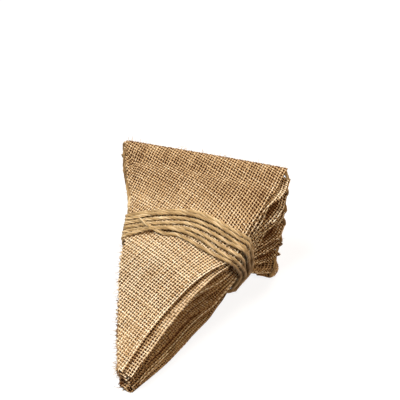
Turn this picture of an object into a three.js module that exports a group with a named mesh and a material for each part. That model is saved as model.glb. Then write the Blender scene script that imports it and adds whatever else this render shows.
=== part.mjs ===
// Pile of burlap pennants strung on jute twine, tied round its waist with the twine's tail.
// Millimetres, +Z up, tips toward -Y, cased ends toward +Y, resting on z = 0.
import * as THREE from 'three';

// The pile
const PENNANTS = 14;
const CLOTH = 1.1;
const FLAT_LENGTH = 178;
const TIP_PILE = 26;
const TOP_SLOPE = Math.tan(THREE.MathUtils.degToRad(27));
const TOP_ROLL = Math.tan(THREE.MathUtils.degToRad(4.7));
const WAIST_Y = 103;
const WAIST_REACH = 27;
const WAIST_PRESS = { right: 16, left: 7 };
const HALF_WIDTH = { tip: 18, slope: 0.32 };
const PRESS_MOST = 1.4;

// The twine
const TWINE = 2.7;
const GAP = 0.4;
const STRING_SIDES = 5;
const TIE_SIDES = 6;

// The casing at the wide end of each pennant
const CASING_RADIUS = 2.6;
const CASING_DEPTH = 13.5;

// The tie runs under the lowest pennant, which is raised over it,
const TIE_TILT = 0.24;
const TIE_CLEAR = 0.9;
const SIDE_CLEAR = 0.8;
const HUMP = TWINE + 2 * GAP + TIE_CLEAR + 0.2;
const HUMP_SPAN = { start: 80, full: 96, end: 136, casing: 150 };
// rises behind the front edge of its right corner, which lies on the floor,
const FLAP = { rise: 12, reach: 26, from: 10, to: 45, start: 122, full: 142, x: 75, y: 145, slant: 40.2 };
// and is raised a little more where the turns bunch low on the right side
const BUNCH = { rise: 3.0, from: -8, to: 22, start: 100, full: 114, fade: 132, end: 146 };

// Edges of the pile seen from above, from the tips to the cased ends.
// right and left edges of the lowest, middle and top pennant, and how far along each side lies
const EDGES = [
  { s: 0.0, low: 5.0, mid: 3.5, top: 0.0, lowL: -2.0, midL: -3.5, topL: -5.4, alongR: -3, alongL: -3 },
  { s: 0.2, low: 19.6, mid: 18.0, top: 12.4, lowL: -16, midL: -18.5, topL: -18, alongR: 30.5, alongL: 31 },
  { s: 0.4, low: 27.6, mid: 31.0, top: 30.0, lowL: -26, midL: -28.5, topL: -30, alongR: 62.5, alongL: 63.5 },
  { s: 0.6, low: 39.5, mid: 46.5, top: 50.8, lowL: -29, midL: -33, topL: -36.5, alongR: 94, alongL: 96.5 },
  { s: 0.72, low: 43.5, mid: 54.5, top: 55.4, lowL: -31, midL: -36, topL: -41, alongR: 112.5, alongL: 115 },
  { s: 0.86, low: 50.0, mid: 65.5, top: 65.9, lowL: -43, midL: -47, topL: -53.5, alongR: 134, alongL: 136.5 },
  { s: 1.0, low: 70.5, mid: 74.5, top: 73.0, lowL: -56, midL: -58, topL: -64, alongR: 154, alongL: 158 },
];

// How each pennant lies in the pile, from the lowest: its turn, its slip sideways and along,
// how far its right corner is drawn forward, and how far out,
// and how far its right edge sits out between the tip and the tie, and between the tie and the corner
const LIES = [
  { turn: 0.0, side: 0.0, along: 0.0, corner: 0, out: 2, edge: 0, bulge: 0 },
  { turn: 0.6, side: 0.5, along: 2.4, corner: 1, out: 0, edge: -5, bulge: 0 },
  { turn: -0.6, side: -0.5, along: -1.0, corner: 1, out: -1, edge: -3.5, bulge: 2 },
  { turn: 0.9, side: 0.5, along: 1.0, corner: 0, out: 0, edge: -1.3, bulge: -2 },
  { turn: -0.4, side: -0.5, along: -1.6, corner: 0, out: 1, edge: -5, bulge: 3 },
  { turn: 0.5, side: 0.5, along: 0.5, corner: -1, out: -1, edge: -3.5, bulge: -2 },
  { turn: -0.8, side: -0.5, along: 1.5, corner: 1, out: 1, edge: -2, bulge: 2.5 },
  { turn: 0.7, side: 0.5, along: -0.5, corner: 0, out: 0, edge: -3, bulge: -2.5 },
  { turn: -0.5, side: -0.5, along: 1.0, corner: -1, out: 1, edge: -2.5, bulge: 3 },
  { turn: 0.9, side: 0.5, along: -1.0, corner: 0, out: 0, edge: -4, bulge: -2 },
  { turn: -0.6, side: -0.5, along: 0.5, corner: 1, out: 1, edge: -5, bulge: 3 },
  { turn: 0.5, side: 0.5, along: -1.1, corner: 0, out: 1, edge: -4.5, bulge: -2.5 },
  { turn: 2.7, side: 1.8, along: -1.5, corner: -3, out: 2, edge: 2.3, bulge: 2 },
  { turn: 0.0, side: 0.0, along: 0.0, corner: 0, out: 0, edge: 0, bulge: 0 },
];
// Stretches of a pennant, as shares of its length, that those slips take up
const AHEAD_SPAN = { start: 0.02, full: 0.14, fade: 0.42, end: 0.54 };
const BEHIND_SPAN = { start: 0.8, full: 0.88, fade: 0.92, end: 0.99 };
const CORNER_FROM = 0.8;
// The lowest pennant's corner is bent forward and its casing bows out behind the bend
const BENT = { forward: -12.5, sharp: 6, bow: 22, rise: 4, fall: 12 };
const OUT_FROM = 0.78;
// The left corners of the lower pennants lie further back
const LEFT_BACK = 9;

// Folded section of a pennant at its cased end: distance back from the end and rise off the cloth
const CASING = [
  { back: -CASING_DEPTH, rise: 0.1 },
  { back: -9.0, rise: 1.5 },
  { back: -4.0, rise: CASING_RADIUS },
  { turn: 62 },
  { turn: 20 },
  { turn: -20 },
  { turn: -62 },
  { back: -4.0, rise: -CASING_RADIUS },
  { back: -9.0, rise: -1.35 },
  { back: -CASING_DEPTH, rise: -1.75 },
];

// Turns of the tie, from the cased end toward the tips: where each crosses on the left side,
// under the pile, at the lower right corner, low and high on the right side, and over the top
const TURNS = [
  { left: 101.5, under: 108.3, corner: 109.2, low: 108.8, high: 107.5, over: 111.2 },
  { left: 98.4, under: 105.2, corner: 107.2, low: 107.5, high: 104.0, over: 108.1 },
  { left: 95.3, under: 102.1, corner: 104.1, low: 105.6, high: 100.5, over: 105.0 },
  { left: 92.2, under: 99.0, corner: 101.0, low: 103.7, high: 97.0, over: 101.9 },
  { left: 89.1, under: 95.9, corner: 97.9, low: 101.8, high: 93.2, over: 98.8 },
  { left: 86.0, under: 92.8, corner: 94.8, low: 99.9, high: 88.2, over: 94.7 },
  { left: 82.9, under: 89.7, corner: 91.7, low: 98.0, high: 84.7, over: 91.6 },
];
const TURN_AT = { left: 0.11, under: 0.3, corner: 0.42, low: 0.56, high: 0.7, over: 0.85 };
const PITCH_AT = { left: 3.1, under: 3.1, corner: 3.1, low: 1.9, high: 3.5, over: 3.1 };
const TURN_START = { u: -0.12, at: 110.5, pitch: 3.1 };

const COLUMNS = [-1, -0.68, -0.34, 0, 0.34, 0.58, 0.76, 0.89, 1];
const ROWS = [0, 0.13, 0.27, 0.4, 0.52, 0.6, 0.66, 0.72, 0.8, 0.88];

function smooth(from, to, x) {
  const t = THREE.MathUtils.clamp((x - from) / (to - from), 0, 1);
  return t * t * (3 - 2 * t);
}

// 1 within a stretch, falling to 0 at its ends
function within(span, x) {
  return smooth(span.start, span.full, x) * (1 - smooth(span.fade, span.end, x));
}

function waist(y) {
  return Math.exp(-(((y - WAIST_Y) / WAIST_REACH) ** 2));
}

// Smooth curve through the rows of a table
function along(rows, key, name, x) {
  let i = 0;
  while (i < rows.length - 2 && x > rows[i + 1][key]) i += 1;
  const a = rows[i];
  const b = rows[i + 1];
  const before = rows[Math.max(i - 1, 0)];
  const after = rows[Math.min(i + 2, rows.length - 1)];
  const step = b[key] - a[key];
  const t = (x - a[key]) / step;
  const slopeA = (b[name] - before[name]) / (b[key] - before[key]);
  const slopeB = (after[name] - a[name]) / (after[key] - a[key]);
  if (t < 0) return a[name] + slopeA * step * t;
  if (t > 1) return b[name] + slopeB * step * (t - 1);
  const h = t * t * (3 - 2 * t);
  const bend = t * (1 - t) * ((1 - t) * slopeA - t * slopeB) * step;
  return a[name] * (1 - h) + b[name] * h + bend;
}

function blend(low, mid, top, w) {
  return low * (1 - w) * (1 - 2 * w) + mid * 4 * w * (1 - w) + top * w * (2 * w - 1);
}

// Rise of the cloth behind the lowest pennant's right corner, whose front edge lies on the floor
function flapRise(x, y) {
  const slant = THREE.MathUtils.degToRad(FLAP.slant);
  const inward = (FLAP.x - x) * Math.cos(slant) + (y - FLAP.y) * Math.sin(slant);
  const span = smooth(FLAP.from, FLAP.to, x) * smooth(FLAP.start, FLAP.full, y);
  return FLAP.rise * smooth(0, FLAP.reach, inward) * span;
}

// Height of the layer at rank w, from 0 at the bottom to 1 at the top
function layerHeight(x, y, w) {
  const reach = x / (HALF_WIDTH.tip + HALF_WIDTH.slope * Math.max(y, 0));
  const most = x > 0 ? WAIST_PRESS.right : WAIST_PRESS.left;
  const press = most * waist(y) * Math.min(reach * reach, PRESS_MOST);
  const top = TIP_PILE + y * TOP_SLOPE + x * TOP_ROLL - press;
  const settle = (HUMP - CASING_RADIUS) * smooth(HUMP_SPAN.end, HUMP_SPAN.casing, y);
  const raised = BUNCH.rise * within(BUNCH, y) * smooth(BUNCH.from, BUNCH.to, x);
  const hump = HUMP * smooth(HUMP_SPAN.start, HUMP_SPAN.full, y) - settle;
  const low = CLOTH / 2 + hump + raised + flapRise(x, y);
  return low + (top - low) * w;
}

// A point of one pennant: s from tip to cased end, q from left edge to right edge
function plan(i, s, q) {
  const w = i / (PENNANTS - 1);
  const lie = LIES[i];
  const right = blend(...['low', 'mid', 'top'].map((n) => along(EDGES, 's', n, s)), w);
  const left = blend(...['lowL', 'midL', 'topL'].map((n) => along(EDGES, 's', n, s)), w);
  const t = (q + 1) / 2;
  const back = LEFT_BACK * (1 - w) * s * s * (1 - t * t);
  const near = smooth(CORNER_FROM, 1, s);
  const bend = i === 0 ? BENT.forward * t ** BENT.sharp : lie.corner * t * t;
  const bow = i === 0 ? BENT.bow * (t ** BENT.rise - t ** BENT.fall) : 0;
  const slips = lie.edge * within(AHEAD_SPAN, s) + lie.bulge * within(BEHIND_SPAN, s);
  const aside = slips + lie.out * smooth(OUT_FROM, 1, s);
  const x = left + (right - left) * t + lie.side + aside * t * t + bow * near;
  const y = THREE.MathUtils.lerp(along(EDGES, 's', 'alongL', s), along(EDGES, 's', 'alongR', s), t);
  const turn = THREE.MathUtils.degToRad(lie.turn);
  const dy = y - WAIST_Y;
  return {
    x: x * Math.cos(turn) - dy * Math.sin(turn),
    y: x * Math.sin(turn) + dy * Math.cos(turn) + WAIST_Y + lie.along + back + bend * near,
  };
}

function onCloth(i, s, q) {
  const p = plan(i, s, q);
  return new THREE.Vector3(p.x, p.y, layerHeight(p.x, p.y, i / (PENNANTS - 1)));
}

function clothUp(i, s, q) {
  const p = plan(i, s, q);
  const w = i / (PENNANTS - 1);
  const e = 0.5;
  const dx = (layerHeight(p.x + e, p.y, w) - layerHeight(p.x - e, p.y, w)) / (2 * e);
  const dy = (layerHeight(p.x, p.y + e, w) - layerHeight(p.x, p.y - e, w)) / (2 * e);
  return new THREE.Vector3(-dx, -dy, 1).normalize();
}

// Section of a pennant from tip to the end of the turned-in hem, as length and rise
function section() {
  const rows = ROWS.map((s) => ({ length: s * FLAT_LENGTH, rise: 0 }));
  for (const row of CASING) {
    if ('turn' in row) {
      const a = THREE.MathUtils.degToRad(row.turn);
      rows.push({
        length: FLAT_LENGTH - CASING_RADIUS + CASING_RADIUS * Math.cos(a),
        rise: CASING_RADIUS * Math.sin(a),
      });
    } else {
      rows.push({ length: FLAT_LENGTH + row.back, rise: row.rise });
    }
  }
  return rows.map((row, k) => {
    const a = rows[Math.max(k - 1, 0)];
    const b = rows[Math.min(k + 1, rows.length - 1)];
    const size = Math.hypot(b.length - a.length, b.rise - a.rise);
    return { ...row, outLength: -(b.rise - a.rise) / size, outRise: (b.length - a.length) / size };
  });
}

function closedMesh(points, faces) {
  const geometry = new THREE.BufferGeometry();
  const places = points.flatMap((p) => [p.x, p.y, p.z]);
  geometry.setAttribute('position', new THREE.Float32BufferAttribute(places, 3));
  geometry.setIndex(faces.flat());
  geometry.computeVertexNormals();
  return geometry;
}

function pennant(i) {
  const rows = section();
  const across = COLUMNS.length;
  const points = [];
  for (const side of [1, -1]) {
    for (const row of rows) {
      for (const q of COLUMNS) {
        const length = row.length + (side * CLOTH * row.outLength) / 2;
        const rise = row.rise + (side * CLOTH * row.outRise) / 2;
        const s = length / FLAT_LENGTH;
        points.push(onCloth(i, s, q).addScaledVector(clothUp(i, s, q), rise));
      }
    }
  }
  const under = rows.length * across;
  const faces = [];
  const quad = (a, b, c, d) => faces.push([a, b, c], [a, c, d]);
  for (let r = 0; r < rows.length - 1; r += 1) {
    for (let c = 0; c < across - 1; c += 1) {
      const a = r * across + c;
      quad(a, a + 1, a + across + 1, a + across);
      quad(under + a, under + a + across, under + a + across + 1, under + a + 1);
    }
    const l = r * across;
    const e = l + across - 1;
    quad(l, l + across, under + l + across, under + l);
    quad(e, under + e, under + e + across, e + across);
  }
  for (let c = 0; c < across - 1; c += 1) {
    const last = (rows.length - 1) * across + c;
    quad(c, under + c, under + c + 1, c + 1);
    quad(last, last + 1, under + last + 1, under + last);
  }
  return closedMesh(points, faces);
}

// A round cord along a line of points
function cord(line, diameter, sides) {
  const points = [];
  const faces = [];
  const side = new THREE.Vector3();
  const up = new THREE.Vector3(0, 0, 1);
  line.forEach((p, k) => {
    const before = line[Math.max(k - 1, 0)];
    const ahead = line[Math.min(k + 1, line.length - 1)].clone().sub(before).normalize();
    if (k === 0) side.crossVectors(ahead, up);
    side.addScaledVector(ahead, -side.dot(ahead)).normalize();
    up.crossVectors(ahead, side);
    for (let j = 0; j < sides; j += 1) {
      const a = (2 * Math.PI * j) / sides;
      const across = side.clone().multiplyScalar(Math.cos(a)).addScaledVector(up, Math.sin(a));
      points.push(p.clone().addScaledVector(across, diameter / 2));
    }
  });
  const last = (line.length - 1) * sides;
  for (let k = 0; k < line.length - 1; k += 1) {
    for (let j = 0; j < sides; j += 1) {
      const a = k * sides + j;
      const b = k * sides + ((j + 1) % sides);
      faces.push([a, b, b + sides], [a, b + sides, a + sides]);
    }
  }
  for (let j = 1; j < sides - 1; j += 1) {
    faces.push([0, j + 1, j], [last, last + j, last + j + 1]);
  }
  return closedMesh(points, faces);
}

const BORE_AT = 1 - CASING_RADIUS / FLAT_LENGTH;
const END_RUN = 0.68;

function bore(i, q) {
  return onCloth(i, BORE_AT, q);
}

// The way the bore of a casing points at one of its ends
function endwise(i, way) {
  return bore(i, way).sub(bore(i, way * END_RUN)).normalize();
}

// Loops of the string outside the casings: how far out each stands where it leaves the casing,
// a share of the way to the next pennant, and halfway
const LOOP = { leave: 2.0, turn: 3.4, share: 0.2, half: 4.0 };

// The string goes to and fro through the casings, with a loop from each pennant to the next
function stringLine() {
  const line = [];
  for (let i = 0; i < PENNANTS; i += 1) {
    const way = i % 2 === 0 ? 1 : -1;
    const run = i === PENNANTS - 1 ? COLUMNS.slice(1) : COLUMNS;
    (way > 0 ? run : run.slice().reverse()).forEach((q) => line.push(bore(i, q)));
    if (i < PENNANTS - 1) {
      const here = bore(i, way);
      const next = bore(i + 1, way);
      const out = endwise(i, way);
      const outNext = endwise(i + 1, way);
      const inward = Math.max(-next.clone().sub(here).dot(out), 0);
      const onward = Math.max(next.clone().sub(here).dot(out), 0);
      const stray = (inward + onward) / 2;
      line.push(here.clone().addScaledVector(out, LOOP.leave));
      const near = LOOP.turn + LOOP.share * inward;
      line.push(here.clone().lerp(next, LOOP.share).addScaledVector(out, near));
      line.push(here.clone().lerp(next, 0.5).addScaledVector(out, LOOP.half + stray));
      const far = LOOP.turn + LOOP.share * onward;
      line.push(next.clone().lerp(here, LOOP.share).addScaledVector(outNext, far));
      line.push(next.clone().addScaledVector(outNext, LOOP.leave));
    }
  }
  return line;
}

// Where one line of a pennant crosses the tilted plane of a turn of the tie
const SEARCH = { from: 0.3, step: 0.02 };
function crossing(i, q, at) {
  const plane = layerHeight(0, at, 1);
  const off = (p) => p.y - at - (plane - p.z) * TIE_TILT;
  let before = onCloth(i, SEARCH.from, q);
  for (let s = SEARCH.from + SEARCH.step; s < 1; s += SEARCH.step) {
    const here = onCloth(i, s, q);
    if (off(here) >= 0) return before.clone().lerp(here, off(before) / (off(before) - off(here)));
    before = here;
  }
  return before;
}

// Corners of the pile's section, by the way they face and their share of the way round
const CORNERS = [
  { angle: 140, u: 0.0 },
  { angle: 224, u: 0.22 },
  { angle: 300, u: 0.48 },
  { angle: 404, u: 0.7 },
  { angle: 500, u: 1.0 },
];

// The taut way round the pile in that plane, from the upper left down the left side and round,
// held off the edges of every pennant and off the faces of the outer two
const FACE_COLUMNS = [-0.8, -0.55, -0.25, 0, 0.25, 0.55, 0.8];
const TAUT_TURN = 4;

function taut(at) {
  const held = [];
  for (let i = 0; i < PENNANTS; i += 1) {
    const inner = i === 0 || i === PENNANTS - 1 ? FACE_COLUMNS : [];
    for (const q of [-1, ...inner, 1]) held.push(crossing(i, q, at));
  }
  const clear = GAP + TWINE / 2 + TIE_CLEAR;
  const way = [];
  for (let a = CORNERS[0].angle; a <= CORNERS[4].angle; a += TAUT_TURN) {
    const c = Math.cos(THREE.MathUtils.degToRad(a));
    const n = Math.sin(THREE.MathUtils.degToRad(a));
    const far = held.reduce((best, p) => (p.x * c + p.z * n > best.x * c + best.z * n ? p : best));
    const p = { angle: a, nx: c, nz: n, length: 0 };
    p.x = far.x + (clear + SIDE_CLEAR * Math.abs(c)) * c;
    p.z = far.z + (clear + (CLOTH / 2) * Math.abs(n)) * n;
    const last = way[way.length - 1];
    if (last) p.length = last.length + Math.hypot(p.x - last.x, p.z - last.z);
    way.push(p);
  }
  const ends = CORNERS.map((corner) => way.find((p) => p.angle >= corner.angle));
  way.forEach((p) => {
    let k = 0;
    while (k < 3 && p.angle > CORNERS[k + 1].angle) k += 1;
    const share = (p.length - ends[k].length) / (ends[k + 1].length - ends[k].length);
    p.u = THREE.MathUtils.lerp(CORNERS[k].u, CORNERS[k + 1].u, share);
  });
  return way;
}

const TAUT_AT = [80, 84, 88, 92, 96, 100, 104, 108, 112, 116];
const TAUT = TAUT_AT.map(taut);

function pick(way, u) {
  let k = 1;
  while (k < way.length - 1 && way[k].u < u) k += 1;
  const a = way[k - 1];
  const b = way[k];
  const t = b.u > a.u ? (u - a.u) / (b.u - a.u) : 0;
  const of = (n) => a[n] + (b[n] - a[n]) * t;
  return { x: of('x'), z: of('z'), nx: of('nx'), nz: of('nz') };
}

function round(at, u, lift) {
  let k = 0;
  while (k < TAUT_AT.length - 2 && at > TAUT_AT[k + 1]) k += 1;
  const t = (at - TAUT_AT[k]) / (TAUT_AT[k + 1] - TAUT_AT[k]);
  const a = pick(TAUT[k], u);
  const b = pick(TAUT[k + 1], u);
  const of = (n) => a[n] + (b[n] - a[n]) * t;
  const z = of('z') + lift * of('nz');
  const y = at + (layerHeight(0, at, 1) - z) * TIE_TILT;
  return new THREE.Vector3(of('x') + lift * of('nx'), y, z);
}

// The tie leaves the top casing, follows the left edge to the waist, goes round it and ends on top
const TIE_STEP = { length: 15, turn: 20 };
const TAIL_START = { inside: -0.93, out: 2.2, bend: 0.99, bendOut: 3.0 };
const TAIL_CLEAR = 0.8;
const TAIL = [0.97, 0.92, 0.86, 0.8, 0.75, 0.71];
const WINDING = { from: 0.02, short: 0.14 };
const END = [
  { at: 90.6, u: 0.885, lift: 0.3 },
  { at: 91.6, u: 0.915, lift: 3.0 },
  { at: 95.2, u: 0.942, lift: 3.25 },
  { at: 99.0, u: 0.965, lift: 3.25 },
];

function stops(at) {
  const far = (k) => Math.abs(TAUT_AT[k] - at);
  const nearest = TAUT_AT.reduce((best, value, k) => (far(k) < far(best) ? k : best), 0);
  const way = TAUT[nearest];
  const kept = [way[0]];
  way.forEach((p, k) => {
    const last = kept[kept.length - 1];
    const next = way[k + 1];
    const leap = next && next.length - p.length > TIE_STEP.length;
    const gone = p.length - last.length > TIE_STEP.length;
    const turned = p.angle - last.angle >= TIE_STEP.turn;
    if (gone || turned || leap) kept.push(p);
  });
  return kept;
}

function tieLine() {
  const top = PENNANTS - 1;
  const line = [bore(top, TAIL_START.inside), bore(top, -1)];
  const out = endwise(top, -1);
  line.push(bore(top, -1).addScaledVector(out, TAIL_START.out));
  line.push(onCloth(top, TAIL_START.bend, -1).addScaledVector(out, TAIL_START.bendOut));
  const beside = new THREE.Vector3(-TWINE / 2 - GAP - TAIL_CLEAR, 0, 0);
  for (const s of TAIL) line.push(onCloth(top, s, -1).add(beside));
  const keys = [TURN_START];
  TURNS.forEach((turn, k) => {
    for (const n of Object.keys(TURN_AT)) keys.push({ u: k + TURN_AT[n], at: turn[n], pitch: PITCH_AT[n] });
  });
  for (let turn = 0; turn < TURNS.length; turn += 1) {
    for (const stop of stops(TURNS[turn].over)) {
      const u = turn + stop.u;
      if (u < WINDING.from || u > TURNS.length - WINDING.short) continue;
      const pitch = along(keys, 'u', 'pitch', u);
      const need = TWINE + GAP;
      const lift = turn % 2 === 1 && pitch < need ? Math.sqrt(need * need - pitch * pitch) : 0;
      line.push(round(along(keys, 'u', 'at', u), stop.u, lift));
    }
  }
  for (const e of END) line.push(round(e.at, e.u, e.lift));
  return line;
}

const BURLAP_COLOUR = 0xb08a57;
const JUTE_COLOUR = 0xa98f63;
const group = new THREE.Group();

function add(name, geometry, color) {
  const mesh = new THREE.Mesh(geometry, new THREE.MeshStandardMaterial({ color, roughness: 0.95 }));
  mesh.name = name;
  group.add(mesh);
}

for (let i = 0; i < PENNANTS; i += 1) {
  add(`pennant_${String(i + 1).padStart(2, '0')}`, pennant(i), BURLAP_COLOUR);
}
add('string_twine', cord(stringLine(), TWINE, STRING_SIDES), JUTE_COLOUR);
add('tie_twine', cord(tieLine(), TWINE, TIE_SIDES), JUTE_COLOUR);

// Origin at the middle of the underside
const box = new THREE.Box3().setFromObject(group);
const shift = new THREE.Vector3(-(box.min.x + box.max.x) / 2, -(box.min.y + box.max.y) / 2, -box.min.z);
group.children.forEach((mesh) => mesh.geometry.translate(shift.x, shift.y, shift.z));

export default group;
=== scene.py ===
import math

import bpy
import numpy as np
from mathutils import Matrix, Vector


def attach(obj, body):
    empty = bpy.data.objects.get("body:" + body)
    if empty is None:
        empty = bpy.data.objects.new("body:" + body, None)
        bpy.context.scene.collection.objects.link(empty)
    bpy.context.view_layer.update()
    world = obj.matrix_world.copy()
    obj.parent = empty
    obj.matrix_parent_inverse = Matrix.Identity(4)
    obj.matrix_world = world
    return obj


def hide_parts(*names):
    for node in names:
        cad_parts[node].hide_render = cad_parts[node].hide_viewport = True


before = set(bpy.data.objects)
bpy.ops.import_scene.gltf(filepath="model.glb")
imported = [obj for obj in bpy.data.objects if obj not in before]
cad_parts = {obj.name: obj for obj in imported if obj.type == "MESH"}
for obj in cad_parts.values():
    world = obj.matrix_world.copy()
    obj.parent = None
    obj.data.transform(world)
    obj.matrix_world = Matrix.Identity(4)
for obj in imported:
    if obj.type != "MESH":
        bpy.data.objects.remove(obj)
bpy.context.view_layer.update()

# The part's origin in the pile's own frame, whose Y runs from the pennants' tips to their cased ends
ORIGIN = np.array([6.667, 81.867, 0.0])
METRE = 1000.0
MM = 1 / METRE
SEED, TWINE_SEED = 11, 100

# The pile
PENNANTS = 14
TOP = PENNANTS - 1
CLOTH = 1.1
FLAT_WIDTH = 140.0
FLAT_TIP = 5.4
FLAT_LENGTH = 178.0
TIP_PILE = 26.0
TOP_SLOPE = math.tan(math.radians(27.0))
TOP_ROLL = math.tan(math.radians(4.7))
WAIST_Y = 103.0
WAIST_REACH = 27.0
PRESS_RIGHT, PRESS_LEFT = 16.0, 7.0
PRESS_MOST = 1.4
HALF_TIP, HALF_SLOPE = 18.0, 0.32
LEFT_BACK = 9.0
SLOPE_STEP = 0.5
LOWEST = 0.4

# The lowest layer: its hump under the tie, the bunch on its right and the flap behind its right corner
HUMP = 4.45
HUMP_START, HUMP_FULL, HUMP_END, HUMP_CASING = 80.0, 96.0, 136.0, 150.0
BUNCH_RISE, BUNCH_FROM, BUNCH_TO = 3.0, -8.0, 22.0
BUNCH_SPAN = (100.0, 114.0, 132.0, 146.0)
FLAP_RISE, FLAP_REACH, FLAP_SLANT = 12.0, 26.0, math.radians(40.2)
FLAP_X, FLAP_Y = 75.0, 145.0
FLAP_FROM, FLAP_TO, FLAP_START, FLAP_FULL = 10.0, 45.0, 122.0, 142.0

# Edges of the pile seen from above, from the tips to the cased ends
EDGE_NAMES = ("s", "low", "mid", "top", "low_left", "mid_left", "top_left", "along_right", "along_left")
EDGE_ROWS = (
    (0.00, 5.0, 3.5, 0.0, -2.0, -3.5, -5.4, -3.0, -3.0),
    (0.20, 19.6, 18.0, 12.4, -16.0, -18.5, -18.0, 30.5, 31.0),
    (0.40, 29.2, 31.0, 30.0, -26.0, -28.5, -30.0, 62.5, 63.5),
    (0.60, 39.5, 46.5, 50.8, -29.0, -33.0, -36.5, 94.0, 96.5),
    (0.72, 43.5, 54.5, 55.4, -31.0, -36.0, -41.0, 112.5, 115.0),
    (0.86, 50.0, 65.5, 65.9, -43.0, -47.0, -53.5, 134.0, 136.5),
    (1.00, 70.5, 74.5, 73.0, -56.0, -58.0, -64.0, 154.0, 158.0),
)
EDGES = dict(zip(EDGE_NAMES, np.array(EDGE_ROWS).T))

# How each pennant lies, from the lowest: its turn, its slip sideways and along, how far its right corner
# is drawn forward and out, and how far its right edge sits out before the tie and behind it
LIE_NAMES = ("turn", "side", "along", "corner", "out", "edge", "bulge")
LIE_ROWS = (
    (0.0, 0.0, 0.0, 0.0, 2.0, 0.0, 0.0),
    (0.6, 0.5, 2.4, 1.0, 0.0, -5.0, 0.0),
    (-0.6, -0.5, -1.0, 1.0, -1.0, -3.5, 2.0),
    (0.9, 0.5, 1.0, 0.0, 0.0, -1.3, -2.0),
    (-0.4, -0.5, -1.6, 0.0, 1.0, -5.0, 3.0),
    (0.5, 0.5, 0.5, -1.0, -1.0, -3.5, -2.0),
    (-0.8, -0.5, 1.5, 1.0, 1.0, -2.0, 2.5),
    (0.7, 0.5, -0.5, 0.0, 0.0, -3.0, -2.5),
    (-0.5, -0.5, 1.0, -1.0, 1.0, -2.5, 3.0),
    (0.9, 0.5, -1.0, 0.0, 0.0, -4.0, -2.0),
    (-0.6, -0.5, 0.5, 1.0, 1.0, -5.0, 3.0),
    (0.5, 0.5, -1.1, 0.0, 1.0, -4.5, -2.5),
    (2.7, 1.8, -1.5, -3.0, 2.0, 2.3, 2.0),
    (0.0, 0.0, 0.0, 0.0, 0.0, 0.0, 0.0),
)
LIES = [dict(zip(LIE_NAMES, row)) for row in LIE_ROWS]
AHEAD_SPAN = (0.02, 0.14, 0.42, 0.54)
BEHIND_SPAN = (0.8, 0.88, 0.92, 0.99)
CORNER_FROM, OUT_FROM = 0.8, 0.78

# The lowest pennant's corner is bent forward, and its casing bows out behind the bend
BENT_FORWARD, BENT_FROM, BENT_SHARP = -12.5, 0.85, 1.6
BENT_BOW, BOW_AT, BOW_BEFORE = 16.0, 0.84, 0.17

# Folds: slack waves inside the pile, loose right corners, and the top pennant's left lip and back trough
WAVE, WAVE_LENGTH = 3.2, 42.0
WAVE_ALONG, WAVE_ACROSS = (58.0, 78.0, 135.0, 150.0), (-36.0, -24.0, 22.0, 36.0)
LOOSE, LOOSE_SPAN, LOOSE_MOST, LOOSE_SHARP = 3.0, (0.7, 0.84, 0.93, 1.0), 1.1, 2.5
LOOSE_STEP, LOOSE_RATE = 1.8, 7.0
LIP_RISE, LIP_IN, LIP_REACH = 1.5, 1.4, 2.2
DIP_DEPTH, DIP_IN, DIP_REACH = 1.7, 6.6, 2.9
LIP_SPAN = (0.76, 0.88, 0.92, 0.98)
TROUGH_DEPTH, TROUGH_BACK, TROUGH_REACH, TROUGH_START = 1.5, 16.0, 4.2, 0.05
TROUGH_MEAN, TROUGH_SWAY, TROUGH_RATE, TROUGH_PHASE = 0.75, 0.25, 9.0, 0.4
TROUGH_LEFT, TROUGH_LEFT_REACH = 0.5, 0.3

# The casing: distance back from the cased end and rise off the cloth, before and after its round end
CASING_RADIUS = 2.6
CASING_START, FLAT_KNOTS, SECTION_STEPS = 30.0, 12, 800
CASING_OVER = ((-24.0, 0.0), (-13.5, 0.1), (-9.0, 1.5), (-4.0, CASING_RADIUS))
CASING_UNDER = ((-4.0, -CASING_RADIUS), (-9.0, -1.35), (-13.5, -1.75))
CASING_TURN = range(75, -76, -15)

# Casing mouths: pinched, standing out by pennant, with a rounded left corner on the top one
PINCH, PINCH_FROM = 0.28, 0.9
EARS = (-0.5, 3.9, 4.3, 4.2, 2.2, 2.3, 1.9, 1.2, 1.9, 1.0, 1.9, 1.0, 3.6, 2.2)
LEFT_EARS = (*EARS[:-3], 0.0, -2.0, -1.6)
EAR_SPAN = (FLAT_LENGTH - 34.0, FLAT_LENGTH - 10.0, FLAT_LENGTH - 3.0, FLAT_LENGTH + 7.0)
CORNER_ROUND, ROUND_MOST, TURN_END = 7.0, 0.96, FLAT_LENGTH + 1.9

# The weave: yarns along the right edge and across it, that bend over and under one another
PITCH = 2.13
YARN_WIDTH = 0.9
YARN_HEIGHT = 0.66
CRIMP = 0.32
WARP_REACH, WEFT_REACH, YARN_START = 205.0, 150.0, -6.0
DRIFT, DRIFT_WAVES, YARN_SHIFT = 0.1, (53.0, 24.0), 0.06
SWAY, SWAY_LENGTH, SWAY_STEP = 0.7, 31.0, 1.3
BODY_SPREAD, BODY_WANDER, BODY_WAVES = 0.06, 0.12, (17.0, 8.0)
BODY_LEAST, BODY_MOST, EDGE_BODY = 0.75, 1.3, 0.1
FRAY_RIGHT, FRAY_LEFT, FRAY_TIP = 0.3, 1.9, 1.2
UP_STEP, ALONG_SPREAD = 0.3, 500.0
GROUND = 0.2
GROUND_ROWS, CASING_ROWS = 40, 30
GROUND_BREAK, CASING_BREAK = FLAT_LENGTH - 18.0, FLAT_LENGTH - 15.0

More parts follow.
